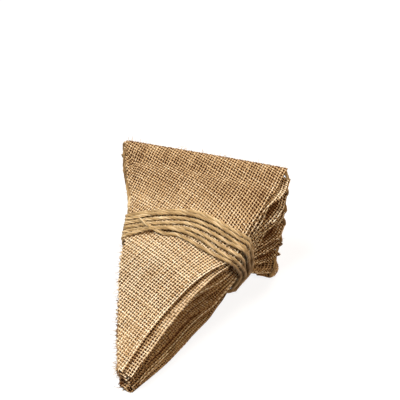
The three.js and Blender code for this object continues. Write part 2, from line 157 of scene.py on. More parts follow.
# Tones of the cloth: random tones by yarn, and painted light and shade: a painted highlight where a yarn
# bends up and painted shade where it dips, painted highlights and shade by pennant along the right edge,
# painted shade on the lower pennants, deep inside, towards the top pennant's cased end and on its casing's
# turn
YARN_TONE, TONE_SPREAD, TONE_WANDER, TONE_WAVES = 0.52, 0.06, 0.08, (41.0, 13.0)
# Painted highlight on each yarn's crown where it bends up, painted shade where it dips under the crossing
# yarn
CROWN_LIGHT_SHADE = 0.32
GROUND_TONE = 0.42
# Painted highlight (above 0) or painted shade (below 0) on each pennant's outermost yarns along its right
# edge, ahead of the tie
EDGE_HIGHLIGHT_SHADE = (-0.2, -0.26, -0.26, 0.36, -0.3, -0.3, 0.4, -0.3, -0.3, 0.42, -0.3, -0.24, 0.06, -0.04)
# Painted highlight on the two outer yarns of the right edge behind the tie, and where it begins
RIM_HIGHLIGHT, EDGE_BEHIND = 0.3, (100.0, 122.0)
# Painted shade on the lower pennants, darker towards the bottom of the pile
LOW_SHADE = 0.12
# Painted shade deep under the pennants above, in from a lit rim along the right edge, wider on the pennant
# under the top one, ending at the casing
DEEP, DEEP_FROM, DEEP_TO, RIM_BEHIND = 0.6, 1.6, 5.0, 2.0
NEXT_WIDER = 2.2
DEEP_END = (FLAT_LENGTH - 6.0, FLAT_LENGTH)
# Painted shade on the top pennant towards its cased end, and along its casing's turned-over back
SHADY, SHADY_SPAN = 0.25, (95.0, 160.0)
TURN_DARK, TURN_SHADE = 0.4, (FLAT_LENGTH - 2.2, FLAT_LENGTH + 0.6)

# Stray fibres: how they stand, and those along the cloth's edges and on the tie
FIBRE_JOINTS, FIBRE_SIDES, FIBRE_LEAST, FIBRE_SHARP = 4, 3, 0.4, 1.5
FIBRE_OUT, FIBRE_AHEAD, FIBRE_LEAN, FIBRE_CURL = 0.9, 0.8, 0.35, 0.5
FIBRE_THIN, FIBRE_DARK, FIBRE_ALONG = 0.35, 0.45, 5.0
WHISKER, HAIR, HAIR_TONE = 5.6, 0.42, 0.42
WHISKER_SHARP, WHISKER_IN, WHISKER_END = 1.6, 0.5, (0.5, 4.5)
PROBE_AHEAD, PROBE_IN, PROBE_OFF = 1.0, 2.0, 1.0
TIE_FIBRES, TIE_FIBRE, TIE_FIBRE_WIDTH, TIE_FIBRE_OFF = 1300, 3.4, 0.09, 1.2

# The twine: three twisted plies, its loops between the casings and its tones
TWINE = 3.05
PLIES = {"plies": 3, "ply_width": 1.46 * MM, "ply_offset": 0.76 * MM, "ply_tone": 0.36, "lay": 15.0 * MM}
PLY_SIDES, PLY_MIDDLE = 6, 0.33
STRING_STEP, STRING_TONE, STRING_END = 1.8, 0.42, -0.68
RUN_POINTS, NEAR_MOUTH = 9, 0.68
LOOP_LEAVE, LOOP_TURN, LOOP_HALF = 0.5, 1.1, 1.3
LOOP_SHARE, LOOP_SLANT, HALF_SLANT = 0.2, 0.2, 0.15
THICK_WANDER, THICK_WAVES = 0.07, (19.0, 7.5)
SHADE_WANDER, SHADE_WAVES = 0.12, (140.0, 33.0)
FINE_STEP = 0.3

# The tie: its turns, by how far along the pile they pass each side, and its tail and free end
TIE_STEP, TIE_TONE, TIE_TAPER, TAPER_TO = 1.2, 0.5, 14.0, 0.45
TIE_TILT = 0.24
TIE_CLEAR = 0.45
SIDE_CLEAR = 0.1
TIE_LOWEST = 1.65
TURN_NAMES = ("left", "under", "corner", "low", "high", "over")
TURN_SHARES = dict(zip(TURN_NAMES, (0.11, 0.3, 0.42, 0.56, 0.7, 0.85)))
TURN_ROWS = (
    (99.5, 106.5, 108.6, 108.6, 106.3, 110.4),
    (96.3, 103.7, 106.4, 107.3, 103.4, 107.6),
    (93.1, 100.9, 103.8, 105.6, 100.4, 104.7),
    (89.8, 98.1, 101.0, 103.7, 97.2, 101.7),
    (86.4, 95.3, 98.0, 101.8, 93.4, 98.4),
    (82.9, 92.5, 95.1, 99.9, 88.9, 95.2),
    (79.4, 89.7, 92.2, 98.0, 85.5, 91.9),
)
TURN_START, TURN_STEPS = (-0.12, 109.5), 120
TURNS_FROM, TURNS_SHORT = 0.02, 0.14
LIFT_SPAN = (0.0, 0.1, 0.92, 1.0)
SHOULDER_RISE, SHOULDER_SPAN = 2.0, (0.58, 0.68, 0.76, 0.9)
SLACK = ((1.3, 0.3), (3.1, 0.25), (7.3, 0.12))
CORNER_ANGLES = (140.0, 224.0, 300.0, 404.0, 500.0)
CORNER_SHARES = (0.0, 0.22, 0.48, 0.7, 1.0)
CROSSING_AT = np.arange(0.3, 1.0, 0.02)
HELD_INSIDE = (-0.8, -0.55, -0.25, 0.0, 0.25, 0.55, 0.8)
TAUT_AT, TAUT_ANGLE = np.arange(80.0, 117.0, 4.0), 4.0
TAIL_INSIDE = (-0.88, -0.95, -0.99)
TAIL_AT = (0.97, 0.92, 0.86, 0.8, 0.75, 0.71)
TAIL_OUT, TAIL_IN, TAIL_LOW = (0.84, 0.95), 0.1, 0.4
# Painted shade on the tie's tail along the left edge, fading out after it
TAIL_SHADE, TAIL_SHADED, TAIL_FADE = 0.45, 62.0, 25.0
END_ROWS = ((91.4, 0.885, 0.2), (92.2, 0.915, 2.6), (95.4, 0.942, 3.1), (99.0, 0.962, 2.9))

# Finishes: dark, middle and light jute, painted shade in the gaps of the weave, fibres, and relief in
# metres
BURLAP_COLOURS = ((0.14, 0.059, 0.016), (0.605, 0.432, 0.229), (1.0, 0.95, 0.77))
TWINE_COLOURS = ((0.11, 0.06, 0.018), (0.435, 0.308, 0.145), (0.84, 0.73, 0.50))
# Painted shade in the gaps of the weave, and how far off a yarn's middle it begins and is full
HOLE_SHADE, GAP_EDGE = (0.034, 0.010, 0.002, 1.0), (0.07, 0.13)
YARN_FIBRES = {"Fibre length": 3.0, "Fibre count": 5.0, "Streak": 0.5}
GROUND_FIBRES = {"Fibre length": 2.0, "Fibre count": 6.0, "Streak": 0.5}
TWINE_FIBRES = {"Fibre length": 7.0, "Fibre count": 9.0, "Streak": 1.25}
YARN_RELIEF, TWINE_RELIEF, GROUND_RELIEF = 0.00012, 0.0003, 0.0004
FIBRE_BUMP, GROUND_BUMP = 0.6, 0.8
FIBRE_NOISE = {"Scale": 1.0, "Detail": 3.0, "Roughness": 0.6}
PATCH_NOISE, PATCH = {"Scale": 70.0, "Detail": 2.0}, 0.35
ROUGH_LEAST, ROUGH_SPREAD = 0.74, 0.18
FIBRE_FINISH = {"Specular IOR Level": 0.25, "Sheen Weight": 0.15, "Sheen Roughness": 0.5}
GROUND_FINISH = {"Roughness": 0.95, "Specular IOR Level": 0.1}
FLOOR_FINISH = {
    "Base Color": (0.2, 0.2, 0.2, 1.0),
    "Roughness": 0.9,
    "Specular IOR Level": 0.0,
    "Emission Color": (0.98, 0.99, 1.0, 1.0),
    "Emission Strength": 0.86,
}

# The studio, in metres and watts: floor, surrounding light, and lamps by place, aim, size, power and colour
FLOOR_HALF, FLOOR_DROP = 3.0, 0.0002
AROUND_COLOUR, AROUND_STRENGTH = (1.0, 0.62, 0.36, 1.0), 0.18
LAMPS = {
    "key": ((-0.24, -0.36, 1.0), (0.0, 0.0, 0.05), 0.4, 13.8, (1.0, 0.985, 0.96)),
    "fill": ((0.5, -0.3, 0.8), (0.03, 0.0, 0.04), 0.25, 4.3, (1.0, 0.72, 0.47)),
    "back": ((0.1, 0.8, 0.36), (0.0, 0.05, 0.06), 0.6, 4.0, (1.0, 0.9, 0.78)),
}

# The camera: where it looks, from how far, and from which side
LOOK_AT = np.array([28.52, 80.90, 125.14])
CAMERA_AZIMUTH = 18.97
CAMERA_ELEVATION = 40.65
CAMERA_DISTANCE = 560.0
LENS, SENSOR = 72.0, 36.0
CLIP_START, CLIP_END = 0.01, 20.0


# Curves and directions
def smooth(start, end, x):
    t = np.clip((x - start) / (end - start), 0.0, 1.0)
    return t * t * (3.0 - 2.0 * t)


def within(span, x):
    """1 within a stretch, falling to 0 at its ends."""
    return smooth(span[0], span[1], x) * (1 - smooth(span[2], span[3], x))


def swell(x, middle, reach):
    """1 at the middle, fading to both sides."""
    return np.exp(-(((x - middle) / reach) ** 2))


def through(keys, values, x):
    """Smooth curve through a table's values, straight past its ends."""
    keys, values, x = np.asarray(keys, float), np.asarray(values, float), np.asarray(x, float)
    i = np.clip(np.searchsorted(keys, x, side="left") - 1, 0, len(keys) - 2)
    before, after = np.maximum(i - 1, 0), np.minimum(i + 2, len(keys) - 1)
    step = keys[i + 1] - keys[i]
    t = (x - keys[i]) / step
    slope_a = (values[i + 1] - values[before]) / (keys[i + 1] - keys[before]) * step
    slope_b = (values[after] - values[i]) / (keys[after] - keys[i]) * step
    h = t * t * (3.0 - 2.0 * t)
    inside = values[i] * (1 - h) + values[i + 1] * h + t * (1 - t) * ((1 - t) * slope_a - t * slope_b)
    past = np.where(t < 0, values[i] + slope_a * t, values[i + 1] + slope_b * (t - 1))
    return np.where((t < 0) | (t > 1), past, inside)


def between(low, mid, top, w):
    """The curve through three values, at ranks 0, a half and 1."""
    return low * (1 - w) * (1 - 2 * w) + mid * 4 * w * (1 - w) + top * w * (2 * w - 1)


def distances(points):
    """How far along a line each of its points lies."""
    return np.concatenate([[0], np.cumsum(np.linalg.norm(np.diff(points, axis=0), axis=1))])


def unit(v):
    """A direction, or each of many directions, at length 1."""
    return v / np.maximum(np.linalg.norm(v, axis=-1, keepdims=True), 1e-9)


def wander(rng, count, length, waves):
    """A slow random wave along each of count yarns, by the place along it."""
    phases = rng.uniform(0, 2 * math.pi, (len(waves), count, 1))
    total = sum(np.sin(2 * math.pi * length / wave + phase) for wave, phase in zip(waves, phases))
    return total / len(waves)


def in_part(points):
    return (np.asarray(points, float) - ORIGIN) / METRE


# Layers of the pile
def flap_rise(x, y):
    """Rise of the cloth behind the lowest pennant's right corner, whose front edge lies on the floor."""
    inward = (FLAP_X - x) * math.cos(FLAP_SLANT) + (y - FLAP_Y) * math.sin(FLAP_SLANT)
    rise = FLAP_RISE * smooth(0, FLAP_REACH, inward)
    return rise * smooth(FLAP_FROM, FLAP_TO, x) * smooth(FLAP_START, FLAP_FULL, y)


def layer_height(x, y, w):
    """Height of the layer at rank w, from 0 at the bottom of the pile to 1 at its top."""
    reach = x / (HALF_TIP + HALF_SLOPE * np.maximum(y, 0.0))
    waist = swell(y, WAIST_Y, WAIST_REACH)
    press = np.where(x > 0, PRESS_RIGHT, PRESS_LEFT) * waist * np.minimum(reach * reach, PRESS_MOST)
    top = TIP_PILE + y * TOP_SLOPE + x * TOP_ROLL - press
    settle = (HUMP - CASING_RADIUS) * smooth(HUMP_END, HUMP_CASING, y)
    raised = BUNCH_RISE * within(BUNCH_SPAN, y) * smooth(BUNCH_FROM, BUNCH_TO, x)
    low = CLOTH / 2 + HUMP * smooth(HUMP_START, HUMP_FULL, y) - settle + raised + flap_rise(x, y)
    return low + (top - low) * w


def plan(i, s, q):
    """Place from above of a point of pennant i: s from tip to cased end, q from left edge to right."""
    w, lie = i / TOP, LIES[i]
    at = {name: through(EDGES["s"], EDGES[name], s) for name in EDGE_NAMES[1:]}
    right = between(at["low"], at["mid"], at["top"], w)
    left = between(at["low_left"], at["mid_left"], at["top_left"], w)
    t = (q + 1) / 2
    back = LEFT_BACK * (1 - w) * s * s * (1 - t * t)
    near = smooth(CORNER_FROM, 1.0, s)
    bend, bow = lie["corner"] * t * t, 0.0
    if i == 0:
        ahead = np.maximum((t - BENT_FROM) / (1 - BENT_FROM), 0.0)
        bend = BENT_FORWARD * ahead**BENT_SHARP
        past = (t - BOW_AT) / (1 - BOW_AT)
        bow = BENT_BOW * np.where(past > 0, 1 - past**2, swell(t, BOW_AT, BOW_BEFORE))
    slips = lie["edge"] * within(AHEAD_SPAN, s) + lie["bulge"] * within(BEHIND_SPAN, s)
    aside = slips + lie["out"] * smooth(OUT_FROM, 1.0, s)
    x = left + (right - left) * t + lie["side"] + aside * t * t + bow * near
    dy = at["along_left"] + (at["along_right"] - at["along_left"]) * t - WAIST_Y
    turn = math.radians(lie["turn"])
    return (
        x * math.cos(turn) - dy * math.sin(turn),
        x * math.sin(turn) + dy * math.cos(turn) + WAIST_Y + lie["along"] + back + bend * near,
    )


def soft_folds(i, s, q):
    """Small rises and dips of the cloth that follow how it is pulled by the tie."""
    t = (q + 1) / 2
    if i == 0:
        return 0.0 * s
    if i < TOP:
        loose = LOOSE * within(LOOSE_SPAN, s) * np.clip(t, 0, LOOSE_MOST) ** LOOSE_SHARP
        return loose * np.sin(LOOSE_STEP * i + LOOSE_RATE * s)
    inward = t * (FLAT_TIP + (FLAT_WIDTH - FLAT_TIP) * s)
    lip = LIP_RISE * swell(inward, LIP_IN, LIP_REACH) - DIP_DEPTH * swell(inward, DIP_IN, DIP_REACH)
    uneven = TROUGH_MEAN + TROUGH_SWAY * np.cos(TROUGH_RATE * t + TROUGH_PHASE)
    uneven = uneven + TROUGH_LEFT * swell(t, 0.0, TROUGH_LEFT_REACH)
    trough = TROUGH_DEPTH * uneven * swell((1.0 - s) * FLAT_LENGTH, TROUGH_BACK, TROUGH_REACH)
    return lip * within(LIP_SPAN, s) - trough * smooth(0.0, TROUGH_START, t)


def slack_wave(i, x, y):
    """Slack waves inside the pile, alike in each layer between its lowest and its top pennant."""
    if i in (0, TOP):
        return 0.0 * x
    return WAVE * np.sin(2 * math.pi * y / WAVE_LENGTH) * within(WAVE_ALONG, y) * within(WAVE_ACROSS, x)


def on_cloth(i, s, q):
    s, q = np.broadcast_arrays(np.asarray(s, float), np.asarray(q, float))
    x, y = plan(i, s, q)
    z = layer_height(x, y, i / TOP) + soft_folds(i, s, q) + slack_wave(i, x, y)
    return np.stack([x, y, z], -1)


def cloth_up(i, s, q):
    """The direction square to the layer of pennant i."""
    x, y = plan(i, s, q)
    w, e = i / TOP, SLOPE_STEP
    dx = (layer_height(x + e, y, w) - layer_height(x - e, y, w)) / (2 * e)
    dy = (layer_height(x, y + e, w) - layer_height(x, y - e, w)) / (2 * e)
    return unit(np.stack(np.broadcast_arrays(-dx, -dy, np.ones_like(dx)), -1))


# The cloth's own line, and points on it
def casing_section():
    """The cloth's line from its tip over the casing to its hem: distance walked, length, rise, normal."""
    rows = [(length, 0.0) for length in np.linspace(0, FLAT_LENGTH - CASING_START, FLAT_KNOTS)]
    rows += [(FLAT_LENGTH + back, rise) for back, rise in CASING_OVER]
    middle = FLAT_LENGTH - CASING_RADIUS
    for angle in CASING_TURN:
        a = math.radians(angle)
        rows.append((middle + CASING_RADIUS * math.cos(a), CASING_RADIUS * math.sin(a)))
    rows += [(FLAT_LENGTH + back, rise) for back, rise in CASING_UNDER]
    rows = np.array(rows)
    walked = distances(rows)
    fine = np.linspace(0, walked[-1], SECTION_STEPS)
    line = np.stack([through(walked, rows[:, 0], fine), through(walked, rows[:, 1], fine)], -1)
    ahead = unit(np.gradient(line, fine, axis=0))
    return {
        "walked": fine,
        "length": line[:, 0],
        "rise": line[:, 1],
        "out_length": -ahead[:, 1],
        "out_rise": ahead[:, 0],
    }


SECTION = casing_section()
CLOTH_END = SECTION["walked"][-1]

# Where yarns are made: all over the top pennant, and near the edges and the casing of those below it
TOP_ZONE = None
LOWER_ZONE = {"right": 12.5, "left": 6.0, "casing": FLAT_LENGTH - 9.0, "hem": CLOTH_END - 9.0}
NEXT_ZONE = {"right": 26.0, "left": 6.0, "casing": FLAT_LENGTH - 10.0, "hem": CLOTH_END - 9.0}
EDGE_ZONE = {"right": 40.0, "left": 6.0, "casing": FLAT_LENGTH - 10.0, "hem": CLOTH_END}
ZONES = {0: EDGE_ZONE, TOP - 1: NEXT_ZONE, TOP: TOP_ZONE}

# How finely a pennant is made: points to a pitch, sides of a yarn, columns of its ground, whiskers
TOP_DETAIL = {"steps": 3, "sides": 5, "columns": 25, "whiskers": 200}
LOWER_DETAIL = {"steps": 2, "sides": 4, "columns": 15, "whiskers": 40}


def half_width(length):
    return (FLAT_TIP + (FLAT_WIDTH - FLAT_TIP) * length / FLAT_LENGTH) / 2


def cloth_reach(i, walked):
    """How far the flat cloth reaches to its left and right, with the casing's mouths standing out."""
    half = half_width(np.interp(walked, SECTION["walked"], SECTION["length"]))
    mouth = within(EAR_SPAN, walked)
    left = half + LEFT_EARS[i] * mouth
    if i == TOP:
        past = np.clip(walked - TURN_END + CORNER_ROUND, 0, CORNER_ROUND)
        left = left - CORNER_ROUND + np.sqrt(CORNER_ROUND**2 - past**2 * ROUND_MOST)
    return left, half + EARS[i] * mouth


def cloth_point(i, across, walked, off):
    """A point of pennant i by its place in the flat cloth, off the cloth's middle by off."""
    at = {name: np.interp(walked, SECTION["walked"], SECTION[name]) for name in SECTION if name != "walked"}
    past = np.minimum(walked, 0.0)
    s = (at["length"] + past + off * at["out_length"]) / FLAT_LENGTH
    q = across / half_width(at["length"])
    rise = at["rise"] * (1 - PINCH * smooth(PINCH_FROM, 1.0, np.abs(q))) + off * at["out_rise"]
    point = on_cloth(i, s, q) + cloth_up(i, s, q) * rise[..., None]
    point[..., 2] = np.maximum(point[..., 2], LOWEST + off)
    return point


# Meshes
def line_mesh(name, points, edges, **marks):
    """A mesh of lines for a node tree to sweep, with a number or a direction kept at each point."""
    mesh = bpy.data.meshes.new(name)
    mesh.vertices.add(len(points))
    mesh.vertices.foreach_set("co", np.ascontiguousarray(points, np.float32).ravel())
    mesh.edges.add(len(edges))
    mesh.edges.foreach_set("vertices", np.ascontiguousarray(edges, np.int32).ravel())
    for label, values in marks.items():
        values = np.ascontiguousarray(values, np.float32)
        vector = values.ndim == 2
        layer = mesh.attributes.new(label, "FLOAT_VECTOR" if vector else "FLOAT", "POINT")
        layer.data.foreach_set("vector" if vector else "value", values.ravel())
    mesh.update()
    return mesh


def grown(name, seed, tree, **values):
    """The plain mesh object that a node tree makes from a seed mesh."""
    piece = bpy.data.objects.new(name, seed)
    bpy.context.scene.collection.objects.link(piece)
    modifier = piece.modifiers.new("make", "NODES")
    modifier.node_group = tree
    sockets = {s.name: s.identifier for s in tree.interface.items_tree if s.in_out == "INPUT"}
    for label, value in values.items():
        modifier[sockets[label.replace("_", " ").capitalize()]] = value
    made = bpy.data.meshes.new_from_object(piece.evaluated_get(bpy.context.evaluated_depsgraph_get()))
    piece.modifiers.remove(modifier)
    piece.data = made
    made.name = name
    bpy.data.meshes.remove(seed)
    for spare in ("up", "thick", "custom_normal", "radius"):
        if spare in made.attributes:
            made.attributes.remove(made.attributes[spare])
    return piece


# Node trees
def add_sockets(tree, in_out, **kinds):
    """Named inputs or outputs of a tree, by their kind."""
    for kind, labels in kinds.items():
        for label in labels:
            tree.interface.new_socket(label, in_out=in_out, socket_type=f"NodeSocket{kind}")


def tree_with(name, **kinds):
    tree = bpy.data.node_groups.new(name, "GeometryNodeTree")
    add_sockets(tree, "OUTPUT", Geometry=["Geometry"])
    add_sockets(tree, "INPUT", Geometry=["Geometry"], Material=["Material"], **kinds)
    return tree


def node(tree, kind, inputs=None, **settings):
    made = tree.nodes.new(kind)
    for key, value in settings.items():
        setattr(made, key, value)
    for socket, value in (inputs or {}).items():
        target = made.inputs[socket]
        if isinstance(value, bpy.types.NodeSocket):
            tree.links.new(value, target)
        else:
            target.default_value = value
    return made


def mark(tree, name, data_type="FLOAT"):
    kept = node(tree, "GeometryNodeInputNamedAttribute", {"Name": name}, data_type=data_type)
    return kept.outputs["Attribute"]


def math_node(tree, operation, a, b=0.0):
    return node(tree, "ShaderNodeMath", {0: a, 1: b}, operation=operation).outputs[0]


def vector_node(tree, operation, a, b=None, scale=None):
    inputs = {0: a}
    if b is not None:
        inputs[1] = b
    if scale is not None:
        inputs["Scale"] = scale
    return node(tree, "ShaderNodeVectorMath", inputs, operation=operation).outputs[0]


def close_tree(tree, curve, profile, group):
    """Sweeps the profile along the curve by its kept thickness, as one smooth mesh with its material."""
    sweep = {"Curve": curve, "Profile Curve": profile, "Scale": mark(tree, "thick"), "Fill Caps": True}
    swept = node(tree, "GeometryNodeCurveToMesh", sweep)
    shaded = node(tree, "GeometryNodeSetShadeSmooth", {"Geometry": swept.outputs[0]})
    real = node(tree, "GeometryNodeRealizeInstances", {"Geometry": shaded.outputs[0]})
    finish = {"Geometry": real.outputs[0], "Material": group["Material"]}
    done = node(tree, "GeometryNodeSetMaterial", finish)
    end = node(tree, "NodeGroupOutput")
    tree.links.new(done.outputs[0], end.inputs[0])
    return tree


def round_profile(tree, sides, width, height):
    ring = node(tree, "GeometryNodeCurvePrimitiveCircle", {"Resolution": sides, "Radius": 0.5})
    around = node(tree, "GeometryNodeSplineParameter").outputs["Factor"]
    stored = {"Geometry": ring.outputs["Curve"], "Name": "around", "Value": around}
    kept = node(tree, "GeometryNodeStoreNamedAttribute", stored)
    size = node(tree, "ShaderNodeCombineXYZ", {"X": height, "Y": width, "Z": 1.0}).outputs[0]
    return node(tree, "GeometryNodeTransform", {"Geometry": kept.outputs[0], "Scale": size}).outputs[0]


def yarn_tree():
    """Sweeps a flattened round section along each line, lying flat on the cloth."""
    tree = tree_with("Yarn", Float=["Width", "Height"], Int=["Sides"])
    group = node(tree, "NodeGroupInput").outputs
    curve = node(tree, "GeometryNodeMeshToCurve", {"Mesh": group["Geometry"]}).outputs[0]
    lie = {"Curve": curve, "Normal": mark(tree, "up", "FLOAT_VECTOR")}
    lying = node(tree, "GeometryNodeSetCurveNormal", lie, mode="FREE").outputs[0]
    profile = round_profile(tree, group["Sides"], group["Width"], group["Height"])
    return close_tree(tree, lying, profile, group)


def twine_tree():
    """Lays plies round each line, twisted once in each lay length."""
    tree = tree_with("Twine", Float=["Ply width", "Ply offset", "Ply tone", "Lay"], Int=["Plies", "Sides"])
    group = node(tree, "NodeGroupInput").outputs
    curve = node(tree, "GeometryNodeMeshToCurve", {"Mesh": group["Geometry"]}).outputs[0]
    repeat = {"Geometry": curve, "Amount": group["Plies"]}
    plies = node(tree, "GeometryNodeDuplicateElements", repeat, domain="SPLINE")
    length = node(tree, "GeometryNodeSplineParameter").outputs["Length"]
    turns = math_node(tree, "DIVIDE", length, group["Lay"])
    start = math_node(tree, "DIVIDE", plies.outputs["Duplicate Index"], group["Plies"])
    angle = math_node(tree, "MULTIPLY", math_node(tree, "ADD", turns, start), 2 * math.pi)
    side = node(tree, "GeometryNodeInputNormal").outputs[0]
    other = vector_node(tree, "CROSS_PRODUCT", node(tree, "GeometryNodeInputTangent").outputs[0], side)
    out = vector_node(
        tree,
        "ADD",
        vector_node(tree, "SCALE", side, scale=math_node(tree, "COSINE", angle)),
        vector_node(tree, "SCALE", other, scale=math_node(tree, "SINE", angle)),
    )
    reach = math_node(tree, "MULTIPLY", mark(tree, "thick"), group["Ply offset"])
    from_middle = math_node(tree, "SUBTRACT", start, PLY_MIDDLE)
    shade = math_node(tree, "MULTIPLY", from_middle, group["Ply tone"])
    tone = math_node(tree, "ADD", mark(tree, "tone"), shade)
    stored = {"Geometry": plies.outputs["Geometry"], "Name": "tone", "Value": tone}
    toned = node(tree, "GeometryNodeStoreNamedAttribute", stored).outputs[0]
    aside = vector_node(tree, "SCALE", out, scale=reach)
    laid = node(tree, "GeometryNodeSetPosition", {"Geometry": toned, "Offset": aside}).outputs[0]
    profile = round_profile(tree, group["Sides"], group["Ply width"], group["Ply width"])
    return close_tree(tree, laid, profile, group)


# Materials
def colour_mix(tree, share, a, b):
    """Mix of two colours, on the sockets that a mix node keeps for colours."""
    mixed = node(tree, "ShaderNodeMix", {0: share, 6: a, 7: b}, data_type="RGBA", clamp_factor=True)
    return mixed.outputs[2]


def jute_group():
    """Streaky jute: colour by tone, with fibres that run along the yarn."""
    tree = bpy.data.node_groups.new("Jute fibre", "ShaderNodeTree")
    values = ["Tone", "Along", "Around", "Fibre length", "Fibre count", "Streak"]
    add_sockets(tree, "INPUT", Float=values, Color=["Dark", "Middle", "Light"])
    add_sockets(tree, "OUTPUT", Color=["Colour"], Float=["Roughness", "Height"])
    group = node(tree, "NodeGroupInput").outputs
    place = node(
        tree,
        "ShaderNodeCombineXYZ",
        {
            "X": math_node(tree, "DIVIDE", group["Along"], group["Fibre length"]),
            "Y": math_node(tree, "MULTIPLY", group["Around"], group["Fibre count"]),
        },
    ).outputs[0]
    fibres = node(tree, "ShaderNodeTexNoise", {"Vector": place, **FIBRE_NOISE}).outputs[0]
    in_object = node(tree, "ShaderNodeTexCoord").outputs["Object"]
    patches = node(tree, "ShaderNodeTexNoise", {"Vector": in_object, **PATCH_NOISE}).outputs[0]
    streak = math_node(tree, "MULTIPLY", math_node(tree, "SUBTRACT", fibres, 0.5), group["Streak"])
    patch = math_node(tree, "MULTIPLY", math_node(tree, "SUBTRACT", patches, 0.5), PATCH)
    tone = math_node(tree, "ADD", math_node(tree, "ADD", group["Tone"], streak), patch)
    lower = math_node(tree, "MULTIPLY", tone, 2.0)
    upper = math_node(tree, "SUBTRACT", lower, 1.0)
    darker = colour_mix(tree, lower, group["Dark"], group["Middle"])
    colour = colour_mix(tree, upper, darker, group["Light"])
    rough = math_node(tree, "ADD", math_node(tree, "MULTIPLY", fibres, ROUGH_SPREAD), ROUGH_LEAST)
    end = node(tree, "NodeGroupOutput")
    for label, socket in (("Colour", colour), ("Roughness", rough), ("Height", fibres)):
        tree.links.new(socket, end.inputs[label])
    return tree


def attribute(tree, name):
    return node(tree, "ShaderNodeAttribute", attribute_name=name).outputs["Fac"]


def new_material(name, finish):
    """A material with plain values on its shader, its node tree and that shader."""
    material = bpy.data.materials.new(name)
    material.use_nodes = True
    tree = material.node_tree
    shader = tree.nodes["Principled BSDF"]
    for label, value in finish.items():
        shader.inputs[label].default_value = value
    return material, tree, shader


def jute_node(tree, group, colours, fibres):
    """The jute group in a material, with its own colours and fibres."""
    jute = node(tree, "ShaderNodeGroup", fibres, node_tree=group)
    for label, value in zip(("Dark", "Middle", "Light"), colours):
        jute.inputs[label].default_value = (*value, 1.0)
    return jute


def fibre_material(name, group, colours, fibres, relief):
    """Yarn or twine: jute whose tone, length and round are kept on the mesh."""
    material, tree, shader = new_material(name, FIBRE_FINISH)
    jute = jute_node(tree, group, colours, fibres)
    for label in ("Tone", "Along", "Around"):
        tree.links.new(attribute(tree, label.lower()), jute.inputs[label])
    raised = {"Height": jute.outputs["Height"], "Distance": relief, "Strength": FIBRE_BUMP}
    bump = node(tree, "ShaderNodeBump", raised)
    tree.links.new(jute.outputs["Colour"], shader.inputs["Base Color"])
    tree.links.new(jute.outputs["Roughness"], shader.inputs["Roughness"])
    tree.links.new(bump.outputs[0], shader.inputs["Normal"])
    return material


def ground_material(group, colours):
    """The cloth between the yarns: painted shade in the gaps of the weave, jute where a yarn lies."""
    material, tree, shader = new_material("burlap ground", GROUND_FINISH)
    weave = node(tree, "ShaderNodeUVMap", uv_map="weave").outputs[0]
    places = node(tree, "ShaderNodeSeparateXYZ", {0: weave}).outputs
    half_pitch = 0.5
    off_yarn = [
        math_node(tree, "PINGPONG", math_node(tree, "ADD", places[k], half_pitch), half_pitch)
        for k in (0, 1)
    ]
    nearest = math_node(tree, "MINIMUM", *off_yarn)
    inner, outer = GAP_EDGE
    edge = {"Value": nearest, "From Min": inner, "From Max": outer}
    gap = node(tree, "ShaderNodeMapRange", edge).outputs[0]
    jute = jute_node(tree, group, colours, GROUND_FIBRES)
    tree.links.new(attribute(tree, "tone"), jute.inputs["Tone"])
    tree.links.new(places[0], jute.inputs["Along"])
    tree.links.new(places[1], jute.inputs["Around"])
    # Painted shade in the gaps of the weave
    tree.links.new(colour_mix(tree, gap, jute.outputs["Colour"], HOLE_SHADE), shader.inputs["Base Color"])
    height = math_node(tree, "SUBTRACT", 1.0, gap)
    raised = {"Height": height, "Distance": GROUND_RELIEF, "Strength": GROUND_BUMP}
    bump = node(tree, "ShaderNodeBump", raised)
    tree.links.new(bump.outputs[0], shader.inputs["Normal"])
    return material


# Cloth
GRAIN = unit(np.array([(FLAT_WIDTH - FLAT_TIP) / 2, FLAT_LENGTH]))
CROSS = np.array([GRAIN[1], -GRAIN[0]])
CORNER = np.array([FLAT_TIP / 2, 0.0])


def weave_place(across, walked):
    """How far a point of the flat cloth lies along the yarns and in from the right edge, in yarns."""
    rel = np.stack([across - CORNER[0], walked - CORNER[1]], -1)
    return rel @ GRAIN / PITCH, -(rel @ CROSS) / PITCH


def deep_shade(i, to_right, walked):
    """Painted shade on the cloth where the pennants above keep the light off, in from the right edge."""
    if i in (0, TOP):
        return 0.0 * to_right
    wider = NEXT_WIDER if i == TOP - 1 else 1.0
    start = DEEP_FROM * wider + RIM_BEHIND * smooth(*EDGE_BEHIND, walked)
    deep = smooth(0.0, DEEP_TO * wider, to_right - start)
    return -DEEP * deep * (1 - smooth(*DEEP_END, walked))


